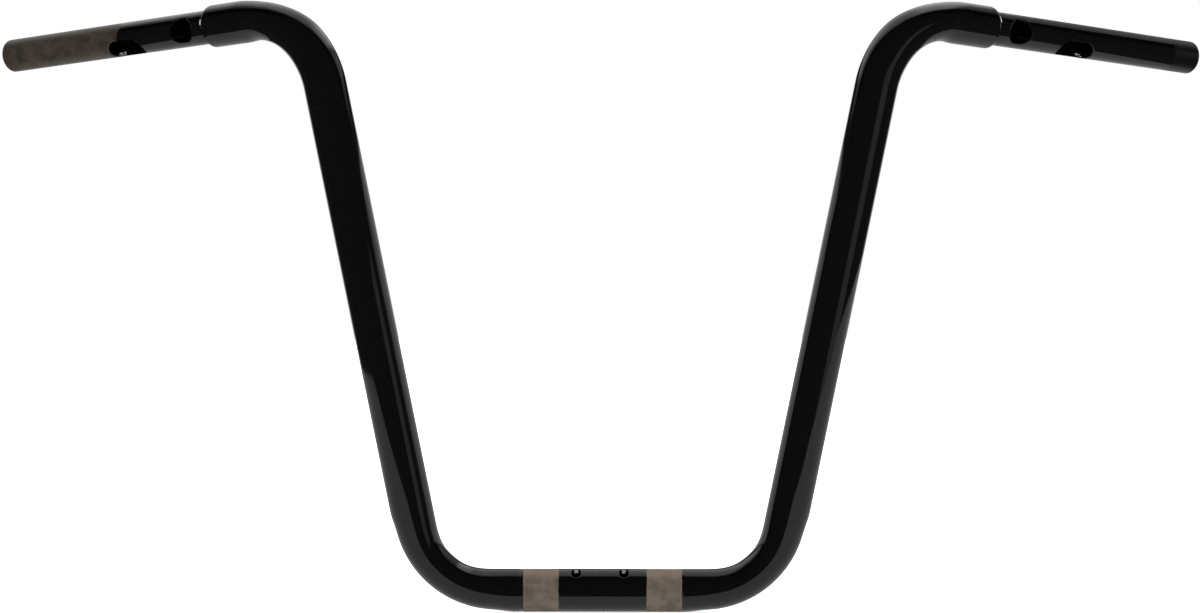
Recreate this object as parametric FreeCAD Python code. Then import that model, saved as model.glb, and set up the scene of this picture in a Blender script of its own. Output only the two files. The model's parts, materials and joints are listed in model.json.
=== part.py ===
import FreeCAD, Part
import math
import os
from FreeCAD import Placement, Rotation, Vector

# Tall motorcycle handlebar: one thick tube bent four times into a high U, with a thinner
# tube sleeved into each end for the rider's grips. Millimetres, +Z up. The origin is the
# middle of the base tube's axis, +X runs to the rider's left hand, the base and both legs
# lie in the plane y = 0, and the grips sweep back towards +Y.

# Tubes
TUBE_OD = 31.75
TUBE_WALL = 3.25
SLEEVE_CLEARANCE = 0.1      # all round the length of each end tube that is inside the main tube
SHOULDER = 0.175            # by which that length is turned down, so that the rest seats on the step
SLEEVE_DEPTH = 28.0         # of that length
END_TUBE_WALL = 3.175
SLEEVE_WALL = 2.5           # wall of the sleeved length, bored out to leave the wires more room
RELIEF_PAST_STEP = 1.5      # where that wider bore ends, beyond the step

# Line of the main tube
BASE_STRAIGHT = 152.4       # between the lower bends
BEND_RADIUS = 62.0          # to the tube's axis, the same die for all four bends
LEG_SPLAY = 11.6            # degrees outwards from upright
LEG_STRAIGHT = 329.0        # between a lower and an upper bend
PULLBACK = 30.0             # degrees that the grips turn back from straight sideways
DROOP = 3.3                 # degrees that the grips fall towards their ends
STUB_STRAIGHT = 37.2        # after an upper bend, up to the step
GRIP_LENGTH = 203.2         # end tube that shows beyond the step

# Flattening of the bends: the share of the radius that is lost, and the places along the
# bend (0 at its start, 1 at its end) where the loss begins, is full from, full to, and ends
LOWER_INSIDE_FLAT = (0.157, 0.00, 0.42, 0.60, 1.00)
LOWER_OUTSIDE_FLAT = (0.100, 0.00, 0.16, 0.84, 1.00)
UPPER_INSIDE_FLAT = (0.085, 0.25, 0.70, 0.84, 1.00)
UPPER_OUTSIDE_FLAT = (0.120, 0.45, 0.78, 0.86, 1.00)
FLAT_SPREAD = 0.3           # share of the lost radius that comes out as width
BEND_STEP = 17.0            # degrees, at most, between the sections that shape a bend
LOFT_DEGREE = 3             # of the smooth surface through those sections

# Edges
STEP_LAND = 0.35            # flat ring left between the rounded step and the end tube
END_BEVEL = 0.8             # outer edge of each open end
END_BREAK = 0.5             # inner edge of each open end

# Wiring openings in each end tube, cut through the wall on one side only
WIRING_WIDTH = 17.5
NECK_HOLE_LENGTH = 21.0
NECK_HOLE_ALONG = 21.3      # centre, from the step
NECK_HOLE_ANGLE = -8.0      # degrees above the tube's front
SLOT_LENGTH = 33.5
SLOT_ALONG = 79.4
SLOT_ANGLE = -57.0

# Two openings high on the front of the base tube, longer round the tube than along it
BASE_HOLE_WIDTH = 7.0
BASE_HOLE_LENGTH = 10.0
BASE_HOLE_SPACING = 35.0
BASE_HOLE_LEAN = 29.0       # degrees forward of straight up

# Worked out from the sizes above
TUBE_R = TUBE_OD / 2
TUBE_BORE_R = TUBE_R - TUBE_WALL
SLEEVE_R = TUBE_BORE_R - SLEEVE_CLEARANCE
END_TUBE_R = SLEEVE_R + SHOULDER
END_BORE_R = END_TUBE_R - END_TUBE_WALL
STEP_ROUND = TUBE_WALL - STEP_LAND

FORWARD = Vector(0, -1, 0)
SIDEWAYS = Vector(1, 0, 0)
UP = Vector(0, 0, 1)


def heading(pullback, droop):
    """Direction of a grip on the +X side."""
    back, fall = math.radians(pullback), math.radians(droop)
    level = math.cos(fall)
    return Vector(level * math.cos(back), level * math.sin(back), -math.sin(fall))


def smooth(t):
    """Eases from 0 to 1 with no corner at either end."""
    return t * t * (3 - 2 * t)


def lost(flat, t):
    """Share of the radius that a flattened bend has lost at place t."""
    share, begin, full_from, full_to, end = flat
    if t <= begin or t >= end:
        return 0.0
    if t < full_from:
        return share * smooth((t - begin) / (full_from - begin))
    if t > full_to:
        return share * smooth((end - t) / (end - full_to))
    return share


class Bend:
    """A bend from start, heading along before, that leaves heading along after."""

    def __init__(self, start, before, after, inside_flat, outside_flat):
        self.start = start
        self.before = before
        self.angle = before.getAngle(after)
        self.inward = (after - before * before.dot(after)).normalize()
        self.inside_flat = inside_flat
        self.outside_flat = outside_flat

    def at(self, t):
        """Point on the axis at place t, and the heading there."""
        turned = self.angle * t
        forward, aside = math.sin(turned), 1 - math.cos(turned)
        point = self.start + (self.before * forward + self.inward * aside) * BEND_RADIUS
        return point, self.before * math.cos(turned) + self.inward * math.sin(turned)

    def section(self, t, wall):
        """Oval outline at place t, set in by wall from the tube's outside."""
        point, along = self.at(t)
        turned = self.angle * t
        outward = self.before * math.sin(turned) - self.inward * math.cos(turned)
        loss_in, loss_out = lost(self.inside_flat, t), lost(self.outside_flat, t)
        inside, outside = TUBE_R * (1 - loss_in), TUBE_R * (1 - loss_out)
        half_depth = (inside + outside) / 2 - wall
        half_width = TUBE_R * (1 + FLAT_SPREAD * (loss_in + loss_out) / 2) - wall
        centre = point + outward * ((outside - inside) / 2)
        if loss_in + loss_out > 0:
            outline = Part.Ellipse(Vector(), half_width, half_depth)
        else:
            outline = Part.Circle(Vector(), UP, half_width)
        quarter = math.pi / 2
        wire = Part.Wire([outline.toShape(k * quarter, (k + 1) * quarter) for k in range(4)])
        wire.Placement = Placement(centre, Rotation(outward.cross(along), outward, along, "ZXY"))
        return wire

    def tube(self):
        """The bend as a tube: its outside smooth, its bore in short straight reaches."""
        count = math.ceil(math.degrees(self.angle) / BEND_STEP)
        places = [k / count for k in range(count + 1)]
        outside = Part.makeLoft([self.section(t, 0.0) for t in places], True, False, False, LOFT_DEGREE)
        bore = Part.makeLoft([self.section(t, TUBE_WALL) for t in places], True, True)
        return outside.cut(bore)


def straight_tube(start, along, length, outer, inner):
    """Length of round tube."""
    solid = Part.makeCylinder(outer, length, start, along)
    return solid.cut(Part.makeCylinder(inner, length, start, along))


def far_rims(tube, start, along, length):
    """Round edges of a tube's far end, the inner one first."""
    rims = [e for e in tube.Edges
            if isinstance(e.Curve, Part.Circle) and (e.Curve.Center - start).dot(along) > length / 2]
    return sorted(rims, key=lambda e: e.Curve.Radius)


def obround_cutter(length, width, reach):
    """Round-ended bar along X, standing on the XY plane."""
    half, r = (length - width) / 2, width / 2
    right = Part.Arc(Vector(half, -r, 0), Vector(half + r, 0, 0), Vector(half, r, 0))
    left = Part.Arc(Vector(-half, r, 0), Vector(-half - r, 0, 0), Vector(-half, -r, 0))
    top = Part.LineSegment(Vector(half, r, 0), Vector(-half, r, 0))
    bottom = Part.LineSegment(Vector(-half, -r, 0), Vector(half, -r, 0))
    outline = Part.Wire([right.toShape(), top.toShape(), left.toShape(), bottom.toShape()])
    return Part.Face(outline).extrude(UP * reach)


# Line of the tube on the +X side, from the base outwards
splay = math.radians(LEG_SPLAY)
leg_heading = Vector(math.sin(splay), 0, math.cos(splay))
grip_heading = heading(PULLBACK, DROOP)
lower_bend = Bend(SIDEWAYS * (BASE_STRAIGHT / 2), SIDEWAYS, leg_heading,
                  LOWER_INSIDE_FLAT, LOWER_OUTSIDE_FLAT)
leg_start = lower_bend.at(1)[0]
upper_bend = Bend(leg_start + leg_heading * LEG_STRAIGHT, leg_heading, grip_heading,
                  UPPER_INSIDE_FLAT, UPPER_OUTSIDE_FLAT)
stub_start = upper_bend.at(1)[0]
step = stub_start + grip_heading * STUB_STRAIGHT


def main_tube():
    """Base, legs and bends of one continuous tube, with a rounded step at each end."""
    base = straight_tube(SIDEWAYS * (-BASE_STRAIGHT / 2), SIDEWAYS, BASE_STRAIGHT, TUBE_R, TUBE_BORE_R)
    leg = straight_tube(leg_start, leg_heading, LEG_STRAIGHT, TUBE_R, TUBE_BORE_R)
    stub = straight_tube(stub_start, grip_heading, STUB_STRAIGHT, TUBE_R, TUBE_BORE_R)
    stub = stub.makeFillet(STEP_ROUND, far_rims(stub, stub_start, grip_heading, STUB_STRAIGHT)[1:])
    side = [lower_bend.tube(), leg, upper_bend.tube(), stub]
    other_side = [s.mirror(Vector(), SIDEWAYS) for s in side]
    tube = base.multiFuse(side + other_side)
    lean = math.radians(BASE_HOLE_LEAN)
    drill = FORWARD * math.sin(lean) + UP * math.cos(lean)
    for end in (-1, 1):
        cutter = obround_cutter(BASE_HOLE_LENGTH, BASE_HOLE_WIDTH, TUBE_OD)
        cutter.Placement = Placement(SIDEWAYS * (end * BASE_HOLE_SPACING / 2),
                                     Rotation(drill.cross(SIDEWAYS), SIDEWAYS, drill, "ZXY"))
        tube = tube.cut(cutter)
    return tube


def end_tube():
    """Thin tube of the +X side: sleeved into the main tube, with two wiring openings."""
    tube = straight_tube(step, grip_heading, GRIP_LENGTH, END_TUBE_R, END_BORE_R)
    tube = tube.makeChamfer(END_BREAK, far_rims(tube, step, grip_heading, GRIP_LENGTH)[:1])
    tube = tube.makeChamfer(END_BEVEL, far_rims(tube, step, grip_heading, GRIP_LENGTH)[-1:])
    start = step - grip_heading * SLEEVE_DEPTH
    tube = tube.fuse(straight_tube(start, grip_heading, SLEEVE_DEPTH, SLEEVE_R, END_BORE_R))
    relief = Part.makeCylinder(SLEEVE_R - SLEEVE_WALL, SLEEVE_DEPTH + RELIEF_PAST_STEP,
                               start, grip_heading)
    tube = tube.cut(relief)
    front = (FORWARD - grip_heading * FORWARD.dot(grip_heading)).normalize()
    top = (UP - grip_heading * UP.dot(grip_heading)).normalize()
    for along, length, angle in ((NECK_HOLE_ALONG, NECK_HOLE_LENGTH, NECK_HOLE_ANGLE),
                                 (SLOT_ALONG, SLOT_LENGTH, SLOT_ANGLE)):
        tilt = math.radians(angle)
        outward = front * math.cos(tilt) + top * math.sin(tilt)
        cutter = obround_cutter(length, WIRING_WIDTH, 2 * END_TUBE_R)
        cutter.Placement = Placement(step + grip_heading * along,
                                     Rotation(grip_heading, outward.cross(grip_heading), outward, "ZXY"))
        tube = tube.cut(cutter)
    return tube


clutch_side = end_tube()
parts = {
    "main_tube": main_tube(),
    "clutch_end_tube": clutch_side,
    "throttle_end_tube": clutch_side.mirror(Vector(), SIDEWAYS),
}
os.makedirs("parts", exist_ok=True)
for node, shape in parts.items():
    solid = shape.removeSplitter().Solids[0]
    solid.exportStep("parts/" + node + ".step")
    box = solid.BoundBox
    print(node, "valid", solid.isValid(), "solids", len(shape.Solids),
          "volume cm3", round(solid.Volume / 1000, 2),
          "box", [round(v, 2) for v in (box.XMin, box.XMax, box.YMin, box.YMax, box.ZMin, box.ZMax)])
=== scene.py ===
# %% [markdown]
# A tall motorcycle handlebar in gloss black. It is one thick tube, bent four times into a high U,
# with a thinner tube sleeved into each end for the grips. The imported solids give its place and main
# sizes, and the lesson lays fine meshes, finishes, light and a camera over them. Lengths are metres.

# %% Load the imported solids
import json
import math

import bmesh
import bpy
import numpy as np
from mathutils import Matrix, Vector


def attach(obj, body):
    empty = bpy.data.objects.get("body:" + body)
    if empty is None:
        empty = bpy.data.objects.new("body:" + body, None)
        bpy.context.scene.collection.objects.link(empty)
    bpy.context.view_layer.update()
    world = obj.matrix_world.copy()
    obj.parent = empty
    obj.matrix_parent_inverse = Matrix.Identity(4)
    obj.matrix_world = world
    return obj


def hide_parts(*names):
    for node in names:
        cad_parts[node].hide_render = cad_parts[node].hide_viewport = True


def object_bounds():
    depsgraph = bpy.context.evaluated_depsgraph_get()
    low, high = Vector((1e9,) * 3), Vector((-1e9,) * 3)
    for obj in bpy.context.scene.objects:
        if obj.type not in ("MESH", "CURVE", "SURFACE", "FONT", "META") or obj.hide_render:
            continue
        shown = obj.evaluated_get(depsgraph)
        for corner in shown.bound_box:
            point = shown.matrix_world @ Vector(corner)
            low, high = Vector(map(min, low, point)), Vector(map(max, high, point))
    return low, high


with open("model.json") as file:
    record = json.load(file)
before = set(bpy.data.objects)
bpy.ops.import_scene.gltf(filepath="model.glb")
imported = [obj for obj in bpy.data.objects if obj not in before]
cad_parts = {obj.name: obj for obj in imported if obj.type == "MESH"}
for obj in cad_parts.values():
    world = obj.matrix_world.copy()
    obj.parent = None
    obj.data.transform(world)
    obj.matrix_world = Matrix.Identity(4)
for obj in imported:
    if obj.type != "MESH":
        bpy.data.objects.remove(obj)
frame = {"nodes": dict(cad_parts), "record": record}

MM = 0.001
cad_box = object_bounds()
mounts = {mount["name"]: mount for mount in frame["record"]["mounts"]}
print("solids", sorted(frame["nodes"]), "box", [[round(c, 4) for c in corner] for corner in cad_box])

# %% [markdown]
# Every tube here is round or nearly round, so its surface is a grid: rows along the tube, columns
# around it. A small class collects such grids as points and four-sided faces. A subdivided cylinder
# with boolean holes would be quicker to type, but it leaves thin triangles that shade badly in a
# gloss finish. Rows and columns that flow round each hole keep the reflections clean.

# %% A skin of rows and columns
COLUMNS = 72
COLUMN_TURN = 2 * math.pi / COLUMNS
AROUND = np.arange(COLUMNS) * COLUMN_TURN
WELD_WITHIN = 1e-7
SHARP_ANGLE = 40.0
ROUNDING = 1e-6


class Skin:
    """Points and four-sided faces of one piece, collected grid by grid."""

    def __init__(self):
        self.points = []
        self.faces = []

    def add(self, points):
        """Keeps an array of points and returns their numbers in the same arrangement."""
        points = np.asarray(points, dtype=float)
        first = len(self.points)
        self.points.extend(points.reshape(-1, 3))
        return first + np.arange(points.size // 3).reshape(points.shape[:-1])

    def strip(self, ring, next_ring, gaps=()):
        """Faces between two closed rings with as many points, less those of the columns in gaps."""
        for k in range(len(ring)):
            if k not in gaps:
                n = (k + 1) % len(ring)
                self.faces.append((ring[k], ring[n], next_ring[n], next_ring[k]))

    def sheet(self, grid, windows=()):
        """Faces of a grid that closes around, less the windows (first row, last row, columns)."""
        for row in range(len(grid) - 1):
            gaps = set()
            for first, last, columns in windows:
                if first <= row < last:
                    gaps.update(columns[:-1])
            self.strip(grid[row], grid[row + 1], gaps)

    def join(self, other, flip):
        """Adds another skin with its points multiplied by flip."""
        first = len(self.points)
        self.points.extend(point * flip for point in other.points)
        self.faces.extend(tuple(first + k for k in face) for face in other.faces)

    def piece(self, name, sharp_angle=SHARP_ANGLE):
        """Blender object of the skin, with points that fall on each other welded."""
        mesh = bpy.data.meshes.new(name)
        mesh.from_pydata([tuple(p) for p in self.points], [], [tuple(map(int, f)) for f in self.faces])
        work = bmesh.new()
        work.from_mesh(mesh)
        bmesh.ops.remove_doubles(work, verts=work.verts[:], dist=WELD_WITHIN)
        bmesh.ops.recalc_face_normals(work, faces=work.faces[:])
        work.to_mesh(mesh)
        work.free()
        mesh.shade_smooth()
        mesh.set_sharp_from_angle(angle=math.radians(sharp_angle))
        made = bpy.data.objects.new(name, mesh)
        bpy.context.scene.collection.objects.link(made)
        print(name, "faces", len(mesh.polygons))
        return made


def unit(v):
    """The same direction, one long."""
    return v / np.linalg.norm(v)


def spaced(marks, most):
    """Places from the first mark to the last, at most so far apart, with a place on every mark."""
    places = [marks[0]]
    for low, high in zip(marks, marks[1:]):
        count = max(1, math.ceil(abs(high - low) / most - ROUNDING))
        places.extend(low + (high - low) * k / count for k in range(1, count + 1))
    return np.array(places)


print("columns around each tube", COLUMNS)

# %% [markdown]
# The wiring holes are milled straight through one wall. In a grid they become a window: a block of
# faces is left out of the outside and of the bore, and rings of faces run from the window's border
# in to the hole's outline, over its rounded edge, down through the wall and out again along the bore.

# %% Round-edged holes through a tube's wall
RINGS_TO_HOLE = 6
RING_CROWDING = 1.4
EDGE_RINGS = 4
WALL_RINGS = 3
TINY = 1e-9


def obround_along(directions, length, width):
    """Where rays from the middle of a round-ended slot, given as x and y, meet its outline."""
    half, r = (length - width) / 2, width / 2
    x, y = np.abs(directions[:, 0]), np.abs(directions[:, 1])
    to_side = r / np.maximum(y, TINY)
    square = x * x + y * y
    to_end = (x * half + np.sqrt(np.maximum(square * r * r - y * y * half * half, 0))) / square
    reach = np.where(x * to_side <= half, to_side, to_end)
    return directions * reach[:, None]


def border(window):
    """The outer ring of a block, once round."""
    return np.concatenate([window[0, :-1], window[:-1, -1], window[-1, :0:-1], window[:0:-1, 0]])


class StraightTube:
    """A round straight tube: its axis, the direction of column 0, and its two radii."""

    def __init__(self, origin, along, zero, outer, bore):
        self.origin = np.array(origin)
        self.along = np.array(along)
        self.zero = np.array(zero)
        self.quarter = np.cross(self.along, self.zero)
        self.outer = outer
        self.bore = bore

    def at(self, place, angle, radius):
        """Points at places along the axis, angles around it and radii from it."""
        place, angle, radius = np.broadcast_arrays(place, angle, radius)
        aside = np.cos(angle)[..., None] * self.zero + np.sin(angle)[..., None] * self.quarter
        return self.origin + place[..., None] * self.along + radius[..., None] * aside


def pierce(skin, tube, outside, inside, places, columns, hole):
    """Joins a window in a tube's outside and the same window in its bore by a hole."""
    length, width = hole["length"], hole["width"]
    middle, turn, edge = hole["along"], hole["angle"], hole["edge"]
    angles = np.array(columns) * COLUMN_TURN
    grid = np.stack(np.meshgrid(places, angles, indexing="ij"), -1)
    start = border(grid)
    rays = np.stack([(start[:, 0] - middle) / np.ptp(places) * length,
                     (start[:, 1] - turn) / np.ptp(angles) * width], -1)
    outward = np.cos(turn) * tube.zero + np.sin(turn) * tube.quarter
    side = np.cross(tube.along, outward)

    def outline(grow):
        along, across = length + 2 * grow, width + 2 * grow
        if along < across:
            return obround_along(rays[:, ::-1], across, along)[:, ::-1]
        return obround_along(rays, along, across)

    def on_wall(flat, radius, sink):
        height = np.sqrt(radius * radius - flat[:, 1] ** 2) - sink
        place = middle + flat[:, 0]
        return (tube.origin + place[:, None] * tube.along + height[:, None] * outward
                + flat[:, 1][:, None] * side)

    def on_skin(flat, radius, share):
        rim = np.stack([middle + flat[:, 0], turn + np.arcsin(flat[:, 1] / radius)], -1)
        between = start + (rim - start) * share
        return tube.at(between[:, 0], between[:, 1], radius)

    shares = [1 - (1 - k / RINGS_TO_HOLE) ** RING_CROWDING for k in range(1, RINGS_TO_HOLE + 1)]
    rings = [border(outside)]
    rings += [skin.add(on_skin(outline(edge), tube.outer, s)) for s in shares]
    for k in range(1, EDGE_RINGS + 1):
        bow = math.pi / 2 * k / EDGE_RINGS
        rings.append(skin.add(on_wall(outline(edge * (1 - math.sin(bow))), tube.outer,
                                      edge * (1 - math.cos(bow)))))
    top = on_wall(outline(0.0), tube.outer, edge)
    bottom = on_wall(outline(0.0), tube.bore, 0.0)
    rings += [skin.add(top + (bottom - top) * k / WALL_RINGS) for k in range(1, WALL_RINGS)]
    rings += [skin.add(on_skin(outline(0.0), tube.bore, s)) for s in reversed(shares)]
    rings.append(border(inside))
    for ring, next_ring in zip(rings, rings[1:]):
        skin.strip(ring, next_ring)


def window_of(hole):
    """Where the window round a hole starts and ends along the tube."""
    reach = hole["length"] / 2 + hole["margin"]
    return hole["along"] - reach, hole["along"] + reach


def pierced_sheets(skin, tube, sheets, leads, places, holes):
    """Faces of a tube's outside and bore with holes between them; places start at the row of each lead."""
    windows = ([], [])
    for hole in holes:
        first, last = [int(np.abs(places - end).argmin()) for end in window_of(hole)]
        middle_column = round(hole["angle"] / COLUMN_TURN)
        columns = list(range(middle_column - hole["columns"], middle_column + hole["columns"] + 1))
        wrapped = [c % COLUMNS for c in columns]
        blocks = []
        for sheet, lead, gaps in zip(sheets, leads, windows):
            gaps.append((lead + first, lead + last, wrapped))
            blocks.append(sheet[lead + first:lead + last + 1][:, wrapped])
        pierce(skin, tube, *blocks, places[first:last + 1], columns, hole)
    for sheet, gaps in zip(sheets, windows):
        skin.sheet(sheet, gaps)


print("rings from a window to its hole", RINGS_TO_HOLE)

# %% [markdown]
# The bar's line is the one a tube bender sets: straight base, bend, splayed leg, bend, stub. A bender
# also flattens the tube a little on the inside and the outside of each bend and lets it swell to the
# sides, so each section is an oval that grows out of the circle and back. The solids use the same
# formula in fewer steps. Here some of the flattening also runs on a little past the bend.

# %% Line of the main tube
TUBE_R = mounts["riser_clamps"]["dims"]["r_mm"] * MM
TUBE_WALL = 3.25 * MM
BASE_STRAIGHT = 152.4 * MM
BEND_RADIUS = 62.0 * MM
LEG_SPLAY = math.radians(11.6)
LEG_STRAIGHT = 329.0 * MM
STUB_STRAIGHT = 37.2 * MM
# Share of the radius lost, then where along the bend the loss begins, is full from and to, and ends.
LOWER_INSIDE_FLAT = (0.157, 0.00, 0.42, 0.60, 1.00)
LOWER_OUTSIDE_FLAT = (0.100, -0.18, 0.06, 0.93, 1.14)
UPPER_INSIDE_FLAT = (0.085, 0.20, 0.70, 0.84, 1.06)
UPPER_OUTSIDE_FLAT = (0.120, 0.42, 0.78, 0.86, 1.10)
BEND_ROWS = 46

SIDEWAYS = np.array([1.0, 0.0, 0.0])
MIRROR = np.array([-1.0, 1.0, 1.0])
grip_mount = mounts["clutch_grip"]
grip_heading = unit(np.array(grip_mount["axis"]))


def smooth(t):
    """Eases from 0 to 1 with no corner at either end."""
    return t * t * (3 - 2 * t)


def lost(flat, t):
    """Share of the radius that a flattened bend has lost at place t."""
    share, begin, full_from, full_to, end = flat
    rising = min(max((t - begin) / (full_from - begin), 0.0), 1.0)
    falling = min(max((end - t) / (end - full_to), 0.0), 1.0)
    return share * smooth(rising) * smooth(falling)


class Bend:
    """A bend of the tube's axis; t is 0 at its start and 1 at its end."""

    def __init__(self, start, before, after, inside_flat, outside_flat):
        self.start = start
        self.before = before
        self.angle = math.acos(before.dot(after))
        self.inward = unit(after - before * before.dot(after))
        self.flats = (inside_flat, outside_flat)
        self.length = BEND_RADIUS * self.angle
        self.first = min(0.0, inside_flat[1], outside_flat[1])
        self.last = max(1.0, inside_flat[-1], outside_flat[-1])

    def station(self, t):
        """Axis point, heading, direction away from the bend's centre, and both losses."""
        within = min(max(t, 0.0), 1.0)
        turned = self.angle * within
        point = self.start + BEND_RADIUS * (self.before * math.sin(turned)
                                            + self.inward * (1 - math.cos(turned)))
        along = self.before * math.cos(turned) + self.inward * math.sin(turned)
        outward = self.before * math.sin(turned) - self.inward * math.cos(turned)
        point = point + along * (t - within) * self.length
        return point, along, outward, lost(self.flats[0], t), lost(self.flats[1], t)

    def stations(self):
        """Stations over the bend, with the straight ends where the section comes round again."""
        return [self.station(t) for t in np.linspace(self.first, self.last, BEND_ROWS + 1)]


leg_heading = np.array([math.sin(LEG_SPLAY), 0.0, math.cos(LEG_SPLAY)])
lower_bend = Bend(SIDEWAYS * BASE_STRAIGHT / 2, SIDEWAYS, leg_heading,
                  LOWER_INSIDE_FLAT, LOWER_OUTSIDE_FLAT)
leg_start = lower_bend.station(1.0)[0]
upper_bend = Bend(leg_start + leg_heading * LEG_STRAIGHT, leg_heading, grip_heading,
                  UPPER_INSIDE_FLAT, UPPER_OUTSIDE_FLAT)
step = upper_bend.station(1.0)[0] + grip_heading * STUB_STRAIGHT
packed_step = np.array(grip_mount["pos_m"]) - grip_heading * grip_mount["dims"]["length_mm"] * MM / 2
print("step at", np.round(step, 5), "and in the record at", np.round(packed_step, 5))

# %% [markdown]
# The main tube is built half by half, from the middle of the base to the step, and the second half
# is mirrored. Each station along its line gives one ring of points for the outside and one for the
# bore. Column 0 starts over the base's opening and is carried along the line without twist.

# %% Stations of the main tube
FLAT_SPREAD = 0.3
STEP_LAND = 0.35 * MM
BASE_HOLE = {"length": 7.0 * MM, "width": 10.0 * MM, "along": 17.5 * MM, "angle": 0.0, "edge": 0.5 * MM,
             "margin": 2.5 * MM, "columns": 6}
STRAIGHT_STEP = 6.0 * MM
STUB_STEP = 3.0 * MM
WINDOW_STEP = 1.0 * MM

base_window = window_of(BASE_HOLE)


def straight_stations(start, along, places):
    """Stations of a round straight run."""
    return [(start + along * place, along, None, 0.0, 0.0) for place in places]


def oval(station, zero, set_in):
    """Ring of points at a station, with column 0 along zero, set in from the tube's outside."""
    point, along, outward, loss_in, loss_out = station
    quarter = np.cross(along, zero)
    if outward is None:
        outward = zero
    inside, outside = TUBE_R * (1 - loss_in), TUBE_R * (1 - loss_out)
    half_depth = (inside + outside) / 2 - set_in
    half_width = TUBE_R * (1 + FLAT_SPREAD * (loss_in + loss_out) / 2) - set_in
    turn = AROUND - math.atan2(outward.dot(quarter), outward.dot(zero))
    centre = point + outward * (outside - inside) / 2
    return (centre + np.outer(np.cos(turn) * half_depth, outward)
            + np.outer(np.sin(turn) * half_width, np.cross(along, outward)))


def base_rows(band_edges):
    """Places of the rows along half the base: close together at the window, one on each band edge."""
    round_end = BASE_STRAIGHT / 2 + lower_bend.first * lower_bend.length
    places = list(spaced([0.0, base_window[0]], STRAIGHT_STEP))
    places += list(spaced(base_window, WINDOW_STEP))[1:]
    places += list(spaced([base_window[1], *band_edges, round_end], STRAIGHT_STEP))[1:-1]
    return places


def half_stations(base_places):
    """Stations from the middle of the base to where the step's rounding starts."""
    leg_places = spaced([(lower_bend.last - 1) * lower_bend.length, LEG_STRAIGHT], STRAIGHT_STEP)[1:-1]
    stub_end = STUB_STRAIGHT - TUBE_WALL + STEP_LAND
    stub_places = spaced([(upper_bend.last - 1) * upper_bend.length, stub_end], STUB_STEP)[1:]
    return (straight_stations(np.zeros(3), SIDEWAYS, base_places)
            + lower_bend.stations()
            + straight_stations(leg_start, leg_heading, leg_places)
            + upper_bend.stations()
            + straight_stations(step - grip_heading * STUB_STRAIGHT, grip_heading, stub_places))


print("base opening's window at", np.round(base_window, 4), "and", BEND_ROWS, "rows over each bend")

# %% [markdown]
# The step is a full quarter-round with a narrow flat land inside it. Two small openings high on the
# base lead wires in. Where the riser clamps bite, the base is set in by a hair to take the two bare
# bands that come later, which sit a little off centre on this bar.

# %% The main tube
STEP_ROWS = 10
BASE_HOLE_LEAN = math.radians(29.0)
BAND_MIDDLES = {"left": 47.1 * MM, "right": 43.2 * MM}
BAND_WIDTH = 26.8 * MM
BAND_SEAT = 0.32 * MM

drill = np.array([0.0, -math.sin(BASE_HOLE_LEAN), math.cos(BASE_HOLE_LEAN)])


def half_tube(band_middle):
    """Skin of the +X half of the thick tube, outside and bore, from the middle of the base."""
    band_edges = (band_middle - BAND_WIDTH / 2, band_middle + BAND_WIDTH / 2)
    base_places = base_rows(band_edges)
    outside, bore = [], []
    zero = drill
    for station in half_stations(base_places):
        point, along, outward = station[:3]
        zero = unit(zero - along * zero.dot(along))
        on_base = point[2] == 0.0 and outward is None
        if on_base and point[0] in band_edges:
            rings = [oval(station, zero, 0.0), oval(station, zero, BAND_SEAT)]
            outside += rings if point[0] == band_edges[0] else rings[::-1]
        elif on_base and band_edges[0] < point[0] < band_edges[1]:
            outside.append(oval(station, zero, BAND_SEAT))
        else:
            outside.append(oval(station, zero, 0.0))
        bore.append(oval(station, zero, TUBE_WALL))
    round_r = TUBE_WALL - STEP_LAND
    stub = StraightTube(step, grip_heading, zero, TUBE_R, TUBE_R - TUBE_WALL)
    for k in range(1, STEP_ROWS + 1):
        bow = math.pi / 2 * k / STEP_ROWS
        outside.append(stub.at(round_r * (math.sin(bow) - 1), AROUND,
                               TUBE_R - round_r * (1 - math.cos(bow))))
    outside.append(stub.at(0.0, AROUND, stub.bore))
    skin = Skin()
    outer = skin.add(np.array(outside))
    inner = skin.add(np.array(bore))
    base = StraightTube(np.zeros(3), SIDEWAYS, drill, TUBE_R, TUBE_R - TUBE_WALL)
    pierced_sheets(skin, base, (outer, inner), (0, 0), np.array(base_places), [BASE_HOLE])
    skin.strip(outer[-1], inner[-1])
    return skin


whole_tube = Skin()
whole_tube.join(half_tube(BAND_MIDDLES["left"]), np.ones(3))
whole_tube.join(half_tube(BAND_MIDDLES["right"]), MIRROR)
main_tube_skin = whole_tube.piece("main_tube_skin")

# %% [markdown]
# Each end tube is turned down where it goes into the main tube, so its shoulder seats on the land of
# the step. An oval hole just past the step and a longer slot under the grip lead switch wires in and
# out. The left and right tubes are mirror images, so one is built and the other is its reflection.

# %% The end tubes
END_TUBE_R = grip_mount["dims"]["r_mm"] * MM
END_BORE_R = mounts["clutch_bar_end"]["dims"]["r_mm"] * MM
SHOULDER = 0.175 * MM
SLEEVE_WALL = 2.5 * MM
RELIEF_PAST_STEP = 1.5 * MM
SLEEVE_DEPTH = 28.0 * MM
GRIP_LENGTH = 203.2 * MM
END_ROUND = 1.1 * MM
END_BREAK = 0.5 * MM
ROUND_ROWS = 6
END_STEP = 3.0 * MM
NECK_BELOW_FRONT = math.radians(8.0)
SLOT_BELOW_FRONT = math.radians(57.0)
WIRING = {"width": 17.5 * MM, "edge": 0.9 * MM, "margin": 4.0 * MM, "columns": 16}
NECK_HOLE = {"length": 21.0 * MM, "along": 21.3 * MM, "angle": 0.0, **WIRING}
SLOT = {"length": 33.5 * MM, "along": 79.4 * MM, "angle": SLOT_BELOW_FRONT - NECK_BELOW_FRONT, **WIRING}

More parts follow.
